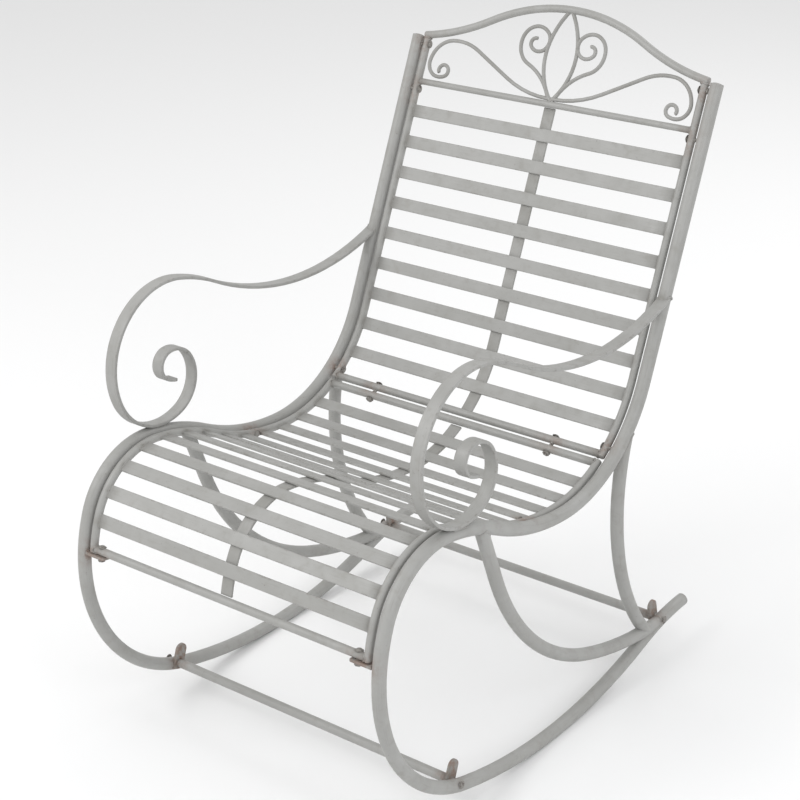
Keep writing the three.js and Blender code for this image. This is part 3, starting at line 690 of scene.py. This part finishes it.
def side_frame(make, name, sign, rng):
    x = sign * SIDE_X
    run = side_run(x)
    round_tube = circle(TUBE_RADIUS, TUBE_SIDES)
    cap = pressed_cap()
    tube = Soup().sweep(run, round_tube, cap[-1][1], run.length - cap[-1][1], (cap, cap))
    make.piece(f"{name}_bent_tube", tube, "frame", "frame_paint", [f"{name}_side_tube"])

    top = SIDE.at(CREST_END - BRACE_TOP_FROM_CREST)[:2]
    foot = SIDE.at(TAIL - BRACE_FOOT_FROM_TAIL)[:2]
    brace = side_run(x, bends_between(BRACE_HEADING, BRACE_BENDS, top, foot))
    leg_top = SIDE.at(UPRIGHT_LENGTH + LEG_TOP_BELOW_UPRIGHT)[:2]
    leg_foot = SIDE.at(TAIL - LEG_FOOT_FROM_TAIL)[:2]
    leg = side_run(x, bends_between(LEG_HEADING, LEG_BENDS, leg_top, leg_foot))
    plain = dome(TUBE_RADIUS, 2)
    make.piece(f"{name}_bent_brace", Soup().sweep(brace, round_tube, 1, brace.length - 1, (plain, plain)),
               "frame", "frame_paint", [f"{name}_brace"])
    make.piece(f"{name}_bent_leg", Soup().sweep(leg, round_tube, 1, leg.length - 1, (plain, plain)),
               "frame", "frame_paint", [f"{name}_rear_leg"])

    arm_foot = on_side(CREST_END + ARM_FOOT_FROM_CREST, 0, -(TUBE_RADIUS + ARM_THICKNESS / 2 + CLEARANCE))
    arm_path = bends_between(ARM_HEADING, ARM_BENDS, SIDE.at(ARM_TOP)[:2], tuple(arm_foot[1:]), ARM_SCROLL)
    arm = side_run(x + sign * ARM_OUTSET, arm_path)
    arm_section = flat_bar(ARM_WIDTH, ARM_THICKNESS, 1.3)
    make.piece(f"{name}_scroll_arm", Soup().sweep(arm, arm_section, 1, arm.length - 0.35),
               "bar", "bar_paint", [f"{name}_arm"])

    welds = Soup()
    tube_points = centre_points(run, 0, run.length)
    ring = circle(TUBE_RADIUS, 44)
    for branch in (brace, leg):
        welds.bead(exit_loop(branch, ring, 0, 110, tube_points, WELD_REACH), rng=rng)
        welds.bead(exit_loop_from_end(branch, ring, 130, tube_points, WELD_REACH), rng=rng)
    welds.bead(exit_loop(arm, arm_section, 0, 60, tube_points, WELD_REACH), 1.2, rng)
    foot_at = CREST_END + ARM_FOOT_FROM_CREST
    for edge in (-1, 1):
        across = x + sign * ARM_OUTSET + edge * (ARM_WIDTH / 2 - 4.0)
        above = TUBE_RADIUS - 0.8 - 0.9 * (edge * sign > 0)
        line = [on_side(s, across, -above) for s in np.arange(foot_at - 17, foot_at + 17.1, WELD_STEP)]
        welds.bead(line, 1.5, rng, closed=False)

    for end, s in STRETCHER_AT.items():
        along, left = side_directions(s)
        centre = on_side(s, sign * (SIDE_X - TUBE_RADIUS + WELD_DEPTH - LUG_THICKNESS / 2))
        lug = Soup().plate(lug_outline(), LUG_THICKNESS, 0.7, centre, along, left, (1, 0, 0))
        make.piece(f"{name}_{end}_lug", lug, "lug", "frame_paint")
        face = sign * (SIDE_X - TUBE_RADIUS + WELD_DEPTH + 0.3)
        line = [centre * [0, 1, 1] + np.array([face, 0, 0]) + t * along + 6.6 * left
                for t in np.arange(-LUG_WIDTH / 2 + 0.5, LUG_WIDTH / 2, WELD_STEP)]
        welds.bead(line, 1.8, rng, closed=False)

    along, left = side_directions(BRACKET_AT)
    middle = on_side(BRACKET_AT, sign * (SIDE_X - TUBE_RADIUS + WELD_DEPTH - BRACKET_REACH / 2))
    half, reach = BRACKET_WIDTH / 2, BRACKET_REACH / 2
    outline = rounded_outline(reach, half, 3.5)
    make.piece(f"{name}_seat_bracket",
               Soup().plate(outline, BRACKET_THICKNESS, 0.6, middle, (sign, 0, 0), left, along),
               "lug", "frame_paint")
    for side in (-1, 1):
        root = middle + np.array([sign * (reach - 2.2), 0, 0])
        line = [root + t * left + side * (BRACKET_THICKNESS / 2 + 0.4) * along
                for t in np.arange(-half + 1, half - 0.9, WELD_STEP)]
        welds.bead(line, 1.5, rng, closed=False)
    make.piece(f"{name}_frame_welds", welds, "weld", "frame_paint")


def exit_loop_from_end(run, section, depth, neighbour, reach):
    """exit_loop for the far end of a run."""
    return exit_loop(run, section, run.length, run.length - depth, neighbour, reach)


def rounded_outline(half_length, half_width, corner, steps=4):
    points = []
    for turn, (sx, sy) in zip((0, 90, 180, 270), ((1, 1), (-1, 1), (-1, -1), (1, -1))):
        for i in range(steps + 1):
            angle = math.radians(turn + 90 * i / steps)
            points.append((sx * (half_length - corner) + corner * math.cos(angle),
                           sy * (half_width - corner) + corner * math.sin(angle)))
    return points


# ---- The panels ----
def cross_run(s, half):
    along, _ = side_directions(s)
    return StraightRun(on_side(s, -half), on_side(s, half), along)


def panel_rails(make, label, start, end, stands_for):
    """The two long rails of a panel, which follow the side tubes; returns points on their centre lines."""
    points = {}
    section = circle(RAIL_RADIUS, RAIL_SIDES)
    for name, sign in SIDES:
        run = side_run(sign * RAIL_X)
        cap = dome(RAIL_RADIUS, 2.2)
        soup = Soup().sweep(run, section, start + 2.2, end - 2.2, (cap, cap))
        make.piece(f"{name}_{label}_side_rail", soup, "frame", "frame_paint", [stands_for.format(name)])
        points[sign] = centre_points(run, start, end)
    return points


def cross_piece(make, name, node, s, section, material, slot, rails, welds, rng, bead=1.2, near=RAIL_X):
    """A slat or rail across the chair, drawn into the side rails, with a bead round each end."""
    run = cross_run(s, near - RAIL_RADIUS + EMBED)
    make.piece(name, Soup().sweep(run, section, caps=(CUT_END[:1], CUT_END[:1])), material, slot, [node])
    level = run.frames([0])[0][0][1]
    for sign in (1, -1):
        inner = StraightRun(on_side(s, sign * (near + 1)), on_side(s, sign * (near - 20)), side_directions(s)[0])
        nearby = rails[sign][np.abs(rails[sign][:, 1] - level) < 30]
        loop = exit_loop(inner, section, 0, 20, nearby, RAIL_RADIUS + 0.2, 80)
        welds.bead(loop, bead, rng)


def slats(make, label, positions, rails, rng):
    section = flat_bar(SLAT_WIDTH, SLAT_THICKNESS)
    welds = Soup()
    for i, s in enumerate(positions):
        node = f"{label}_slat_{i + 1:02d}"
        name = f"{label}_flat_{i + 1:02d}"
        cross_piece(make, name, node, s, section, "slat", "slat_paint", rails, welds, rng, 0.85)
    make.piece(f"{label}_slat_welds", welds, "weld", "frame_paint")


def strap(make, name, node, start, end, positions, rng):
    """The flat strap behind a row of slats, tacked to each of them."""
    behind = SLAT_THICKNESS / 2 + STRAP_GAP + STRAP_THICKNESS / 2
    run = side_run(0, SIDE, behind)
    section = flat_bar(STRAP_WIDTH, STRAP_THICKNESS)
    make.piece(name, Soup().sweep(run, section, start, end), "slat_back", "slat_paint", [node])
    tacks = Soup()
    for s in positions:
        for edge in (-1, 1):
            line = [on_side(s + t, edge * (STRAP_WIDTH / 2 + 0.3), SLAT_THICKNESS / 2 + 0.5)
                    for t in np.arange(-5.0, 5.1, 1.25)]
            tacks.bead(line, 1.25, rng, closed=False)
    make.piece(f"{name}_tacks", tacks, "weld", "slat_paint")


def back_panel(make, rng):
    rails = panel_rails(make, "back", 0, BACK_RAIL_AT + RAIL_RADIUS, "{}_back_rail")
    crest(make, rails, rng)
    welds = Soup()
    lower, upper = circle(RAIL_RADIUS, RAIL_SIDES), circle(CREST_RAIL_RADIUS, RAIL_SIDES)
    cross_piece(make, "back_bottom_rail", "back_lower_rail", BACK_RAIL_AT, lower, "frame", "frame_paint",
                rails, welds, rng, 1.2)
    cross_piece(make, "crest_base_rail", "crest_rail", CREST_RAIL_AT, upper, "bar", "bar_paint",
                rails, welds, rng, 1.1)
    make.piece("back_rail_welds", welds, "weld", "frame_paint")
    slats(make, "back", BACK_SLAT_AT, rails, rng)
    strap(make, "back_centre_strap", "back_strap", CREST_RAIL_AT + CREST_RAIL_RADIUS + CLEARANCE,
          BACK_RAIL_AT - RAIL_RADIUS - CLEARANCE, BACK_SLAT_AT, rng)


def seat_panel(make, rng):
    rails = panel_rails(make, "seat", SEAT_START - RAIL_RADIUS, FRONT_RAIL_AT + RAIL_RADIUS, "{}_seat_rail")
    welds = Soup()
    for name, node, s in (("seat_top_rail", "seat_upper_rail", SEAT_START),
                          ("seat_nose_rail", "seat_front_rail", FRONT_RAIL_AT)):
        section = circle(RAIL_RADIUS, RAIL_SIDES)
        cross_piece(make, name, node, s, section, "frame", "frame_paint", rails, welds, rng, 1.2)
    make.piece("seat_rail_welds", welds, "weld", "frame_paint")
    slats(make, "seat", SEAT_SLAT_AT, rails, rng)
    strap(make, "seat_centre_strap", "seat_strap", SEAT_START + RAIL_RADIUS + CLEARANCE,
          FRONT_RAIL_AT - RAIL_RADIUS - CLEARANCE, SEAT_SLAT_AT, rng)


# ---- The crest ----
def closest(run, other, limit):
    """Points where one bar comes within a limit of another, midway between them."""
    a, b = centre_points(run, 0, run.length, 1.0), centre_points(other, 0, other.length, 1.0)
    gaps = np.linalg.norm(a[:, None] - b[None], axis=2)
    near = gaps.min(1)
    found = []
    for i in range(len(a)):
        window = near[max(0, i - 12):i + 13]
        if near[i] < limit and near[i] == window.min():
            found.append((a[i] + b[gaps[i].argmin()]) / 2)
    return found


def crest(make, rails, rng):
    bar = circle(SCROLL_RADIUS, SCROLL_SIDES)
    arch_path = Bends((-CREST_HALF_WIDTH, 0), ARCH_HEADING, scaled(ARCH_BENDS, CREST_SCALE))
    arch = crest_run(arch_path)
    cap = dome(RAIL_RADIUS, 1.5)
    bow = Soup().sweep(arch, circle(RAIL_RADIUS, RAIL_SIDES), 1.5, arch.length - 1.5, (cap, cap))
    make.piece("crest_bow", bow, "frame", "frame_paint", ["crest_arch"])
    base = crest_run(Bends((-RAIL_X, -CREST_RAIL_AT), 0, [(2 * RAIL_X,)]))
    rail_top = -CREST_RAIL_AT + CREST_RAIL_RADIUS
    crown = arch_path.at(arch_path.length / 2)[1]
    blobs = Soup()
    touches = []

    leaves = []
    leaf_soup = Soup()
    for name, sign in SIDES:
        leaf = crest_run(bends_between(LEAF_HEADING, LEAF_BENDS, (0, rail_top), (0, crown)), sign)
        point = dome(SCROLL_RADIUS, 2)
        leaf_soup.sweep(leaf, bar, turn_step=SCROLL_TURN_STEP, caps=(point, point))
        leaves.append(leaf)
    make.piece("crest_centre_leaf", leaf_soup, "scroll", "scroll_paint", ["crest_leaf"])
    touches += [leaves[0].frames([0])[0][0], leaves[0].frames([leaves[0].length - 4])[0][0]]

    for name, sign in SIDES:
        heart_from = (HEART_START[0], -CREST_RAIL_AT + HEART_START[1])
        heart = crest_run(Bends(heart_from, HEART_HEADING, scaled(HEART_BENDS, CREST_SCALE)), sign)
        outer_from = (OUTER_START, rail_top + SCROLL_RADIUS + CLEARANCE)
        outer = crest_run(Bends(outer_from, 0, scaled(OUTER_BENDS, CREST_SCALE * OUTER_SHRINK)), sign)
        tip = dome(SCROLL_RADIUS, 1.2)
        for label, node, run in (("heart_curl", "heart_scroll", heart), ("outer_curl", "outer_scroll", outer)):
            curl = Soup().sweep(run, bar, -4, run.length - 1.2, (tip, tip), SCROLL_TURN_STEP)
            make.piece(f"{name}_{label}", curl, "scroll", "scroll_paint", [f"{name}_{node}"])
        limit = 2 * SCROLL_RADIUS + 1.2
        touches += closest(heart, leaves[0 if sign > 0 else 1], limit)
        touches += closest(outer, arch, SCROLL_RADIUS + RAIL_RADIUS + 1.5)
        touches += closest(outer, base, SCROLL_RADIUS + CREST_RAIL_RADIUS + 1.2)
        touches += closest(outer, side_run(sign * RAIL_X, Bends((0, 0), -90 - UPRIGHT_LEAN, [(120,)])),
                           SCROLL_RADIUS + RAIL_RADIUS + 1.5)
        touches.append(heart.frames([0])[0][0])
    _, across, _ = base.frames([0])
    for point in touches:
        for face in (-1, 1):
            size = 2.5 + rng.uniform(-0.3, 0.4)
            profile = [(size * math.sin(t), -size * math.cos(t)) for t in np.linspace(0.25, math.pi - 0.25, 7)]
            blobs.revolve(profile, point + face * across[0] * 1.2, across[0], 12)
    for sign in (1, -1):  # the arch's ends on the rails
        corner = np.array([sign * RAIL_X, 0, 0]) + side_directions(0)[0] * (RAIL_RADIUS - 0.5)
        along = side_directions(0)[0]
        turns = 2 * math.pi * np.arange(30) / 30
        ring = [corner + (RAIL_RADIUS + 0.2) * (math.cos(t) * np.array([1, 0, 0]) + math.sin(t) * across[0])
                - along * 1.5 * abs(math.sin(t)) for t in turns]
        blobs.bead(ring, 1.1, rng)
    make.piece("crest_welds", blobs, "weld", "scroll_paint")


# ---- Stretchers and fasteners ----
# along the side tube: through the top of the back rail and the side of the seat rail
EXTRA_BOLTS = (14.0, 777.0)


def stretchers(make):
    for name, s in STRETCHER_AT.items():
        _, left = side_directions(s)
        ends = [on_side(s, side * STRETCHER_HALF, STRETCHER_RISE) for side in (-1, 1)]
        run = StraightRun(*ends, left)
        end = [(0.3, 0.2), (0.8, 0.3), (STRETCHER_RADIUS - BOLT_RADIUS, 0.3)]
        bar = Soup().sweep(run, circle(STRETCHER_RADIUS, RAIL_SIDES), 0.3, run.length - 0.3, (end, end))
        make.piece(f"{name}_cross_bar", bar, "frame", "frame_paint", [f"{name}_stretcher"])


def hexagon_nut(soup, base, axis, height, radius=BOLT_HEAD_RADIUS + 0.4):
    """A six-sided nut with chamfered corners."""
    bevel = 0.5
    profile = [(radius - 1.2, 0), (radius - bevel, 0), (radius, bevel * 0.7), (radius, height - bevel * 0.7),
               (radius - bevel, height), (radius - 1.2, height)]
    soup.revolve(profile, base, axis, 6, edges=[0, 1, 1, 1, 1, 0])


def bolt(make, name, seat, axis, length, nut_at=0.0, node=None, end_radius=BOLT_RADIUS):
    """A domed bolt whose head sits on seat, with a washer, and a nut and washer where its grip ends in one."""
    axis = np.array(axis, float) / np.linalg.norm(axis)
    head = BOLT_HEAD_RADIUS
    turns = np.linspace(0, math.pi / 2, 7)
    crown = [(head * math.sin(t), -0.35 - (BOLT_HEAD_HEIGHT - 0.35) * math.cos(t)) for t in turns]
    profile = [*crown, (head + 0.05, -0.2), (head - 0.1, 0.0), (BOLT_RADIUS, 0.02),
               (end_radius, length - 0.6), (end_radius - 0.6, length)]
    soup = Soup().revolve(profile, seat, axis)
    washer = [(BOLT_RADIUS, -0.02), (head + 1.1, -0.02), (head + 1.4, 0.12), (head + 1.4, 0.45),
              (BOLT_RADIUS, 0.5)]
    soup.revolve(washer, np.array(seat) - axis * 0.3, axis)
    if nut_at:
        soup.revolve(washer, np.array(seat) + axis * (nut_at - 0.35), axis)
        hexagon_nut(soup, np.array(seat) + axis * (nut_at + 0.1), axis, NUT_HEIGHT)
    piece = make.piece(name, soup, "bolt", "fastener", [node] if node else [])
    bevel = piece.modifiers.new("edge", "BEVEL")
    bevel.width, bevel.segments, bevel.limit_method, bevel.angle_limit = 0.00012, 2, "ANGLE", math.radians(40)
    return piece


def bolts(make):
    rail_face = RAIL_X - RAIL_RADIUS - CLEARANCE
    rail_bolt = SIDE_X - TUBE_RADIUS - rail_face + BOLT_GRIP - BOLT_END_GAP
    outer_face = SIDE_X + TUBE_RADIUS + CLEARANCE
    for name, sign in SIDES:
        out = np.array([sign, 0, 0])
        for level, s in RAIL_BOLT_AT.items():
            bolt(make, f"{name}_{level}_back_screw", on_side(s, sign * rail_face), out, rail_bolt,
                 node=f"{name}_{level}_back_bolt")
        for end, s in STRETCHER_AT.items():
            seat = on_side(s, sign * outer_face, STRETCHER_RISE)
            bolt(make, f"{name}_{end}_lug_screw", seat, -out, outer_face - STRETCHER_HALF + BOLT_GRIP,
                 node=f"{name}_{end}_stretcher_bolt")
        middle = BACK_RAIL_AT + PANEL_JOINT / 2
        down, _ = side_directions(middle)
        grip = PANEL_JOINT + 2 * RAIL_RADIUS + 4 * CLEARANCE
        seat = on_side(middle, sign * JOINT_BOLT_X) - down * grip / 2
        bolt(make, f"{name}_panel_screw", seat, down, grip + NUT_HEIGHT + 1, grip, f"{name}_panel_joint_bolt")
        under, _ = side_directions(FRONT_RAIL_AT)
        grip = 2 * RAIL_RADIUS + BRACKET_THICKNESS + 4 * CLEARANCE
        seat = on_side(FRONT_RAIL_AT, sign * (RAIL_X - BRACKET_BOLT_FROM_RAIL)) - under * (RAIL_RADIUS + CLEARANCE)
        bolt(make, f"{name}_seat_screw", seat, under, grip + NUT_HEIGHT + 1, grip, f"{name}_seat_bolt")
        for label, s in (("top_back", EXTRA_BOLTS[0]), ("side_seat", EXTRA_BOLTS[1])):
            bolt(make, f"{name}_{label}_screw", on_side(s, sign * rail_face), out, rail_bolt)
            spacer = Soup().revolve([(4.2, 0), (4.6, 0.4), (4.6, PANEL_GAP - 0.4), (4.2, PANEL_GAP)],
                                    on_side(s, sign * (RAIL_X + RAIL_RADIUS)), out)
            make.piece(f"{name}_{label}_spacer", spacer, "bolt", "fastener")


def rust_and_grime():
    """Where rust shows through, and where grime and painted shade darken the joints between parts, in the chair's
    frame.
    """
    rust, grime_and_shade = [], []
    for sign in (1, -1):
        x = sign * SIDE_X
        for s in STRETCHER_AT.values():
            rust += [on_side(s, x - sign * 12, rise) for rise in (STRETCHER_RISE, 16, 28)]
        rust += [on_side(BRACKET_AT, sign * (RAIL_X - BRACKET_BOLT_FROM_RAIL)), on_side(BRACKET_AT, x - sign * 12)]
        rust += [on_side(s, x - sign * 15) for s in (*RAIL_BOLT_AT.values(), *EXTRA_BOLTS)]
        # Slat, rail and tube joints: darkened there by grime with painted shade.
        grime_and_shade += [on_side(s, sign * (RAIL_X - RAIL_RADIUS)) for s in
                  (*BACK_SLAT_AT, *SEAT_SLAT_AT, BACK_RAIL_AT, SEAT_START, FRONT_RAIL_AT, CREST_RAIL_AT)]
        grime_and_shade += [on_side(TAIL - LEG_FOOT_FROM_TAIL, x, 14), on_side(CREST_END + ARM_FOOT_FROM_CREST, x, -10),
                  on_side(ARM_TOP, x, -8), on_side(UPRIGHT_LENGTH + LEG_TOP_BELOW_UPRIGHT, x, 10)]
        rust += [on_side((BACK_RAIL_AT + SEAT_START) / 2, sign * JOINT_BOLT_X)]
    # Where the slats cross the strap: darkened there by grime with painted shade.
    grime_and_shade += [on_side(s, 0, 3) for s in (*BACK_SLAT_AT, *SEAT_SLAT_AT)]
    return rust, grime_and_shade


# ---- Surroundings ----
CAMERA_AT = (1713.4, -2532.1, 672.1)  # in the chair's frame
CAMERA_AZIMUTH, CAMERA_ELEVATION = 38.696, 22.110
CAMERA_LENS = 90.54


def add_camera(placement):
    data = bpy.data.cameras.new("camera")
    data.lens, data.sensor_width, data.sensor_fit = CAMERA_LENS, 36, "HORIZONTAL"
    camera = bpy.data.objects.new("camera", data)
    turn = Euler((math.radians(90 - CAMERA_ELEVATION), 0, math.radians(CAMERA_AZIMUTH)), "XYZ")
    camera.matrix_world = placement @ Matrix.Translation(Vector(CAMERA_AT) * MM) @ turn.to_matrix().to_4x4()
    bpy.context.scene.collection.objects.link(camera)
    bpy.context.scene.camera = camera


def add_floor():
    half, cells = 30.0, 12
    soup = bmesh.new()
    bmesh.ops.create_grid(soup, x_segments=cells, y_segments=cells, size=half)
    mesh = bpy.data.meshes.new("floor")
    soup.to_mesh(mesh)
    soup.free()
    floor = bpy.data.objects.new("floor", mesh)
    bpy.context.scene.collection.objects.link(floor)
    mesh.materials.append(floor_material())


def add_light(name, at, size, power, target=(0, 0, 0.45), colour=(1, 1, 1)):
    data = bpy.data.lights.new(name, "AREA")
    data.shape, data.size, data.size_y, data.energy, data.color = "RECTANGLE", size[0], size[1], power, colour
    light = bpy.data.objects.new(name, data)
    aim = (Vector(target) - Vector(at)).to_track_quat("-Z", "Y")
    light.matrix_world = Matrix.Translation(at) @ aim.to_matrix().to_4x4()
    bpy.context.scene.collection.objects.link(light)


def add_studio():
    world = bpy.data.worlds.new("studio")
    world.use_nodes = True
    background = world.node_tree.nodes["Background"]
    background.inputs["Color"].default_value = (1, 1, 1, 1)
    background.inputs["Strength"].default_value = 0.8
    bpy.context.scene.world = world
    add_light("key", (-1.8, -2.6, 3.2), (2.4, 2.0), 70)
    add_light("fill", (3.2, -1.2, 2.2), (1.6, 2.4), 38, colour=(0.95, 0.97, 1.0))
    add_light("back", (0.6, 2.8, 2.6), (2.4, 1.6), 26)
    bpy.context.scene.view_settings.view_transform = "Standard"
    bpy.context.scene.view_settings.look = "None"


def main():
    placement = chair_placement()
    materials = {
        "frame": painted_iron("frame_paint_look", hammered=0.18, wear=0.0),
        "bar": painted_iron("bar_paint_look", hammered=0.45),
        "scroll": painted_iron("scroll_paint_look", tone=(0.265, 0.261, 0.246, 1), hammered=0.5),
        "slat": painted_iron("slat_paint_look", hammered=0.4),
        "slat_back": painted_iron("strap_paint_look", tone=(0.27, 0.266, 0.25, 1), hammered=0.4),
        "lug": painted_iron("lug_paint_look", tone=(0.23, 0.222, 0.205, 1), rust=1.15, hammered=0.5, wear=0.8),
        "weld": painted_iron("weld_paint_look", tone=(0.28, 0.273, 0.257, 1), hammered=0.9),
        "bolt": weathered_bolt("bolt_look"),
    }
    make = Builder(placement, materials)
    rust, grime_and_shade = rust_and_grime()
    make.rust_centres, make.grime_centres = np.array(rust), np.array(grime_and_shade)
    rng = np.random.default_rng(SEED)
    for name, sign in SIDES:
        side_frame(make, name, sign, rng)
    back_panel(make, rng)
    seat_panel(make, rng)
    stretchers(make)
    bolts(make)
    add_camera(placement)
    add_floor()
    add_studio()


main()
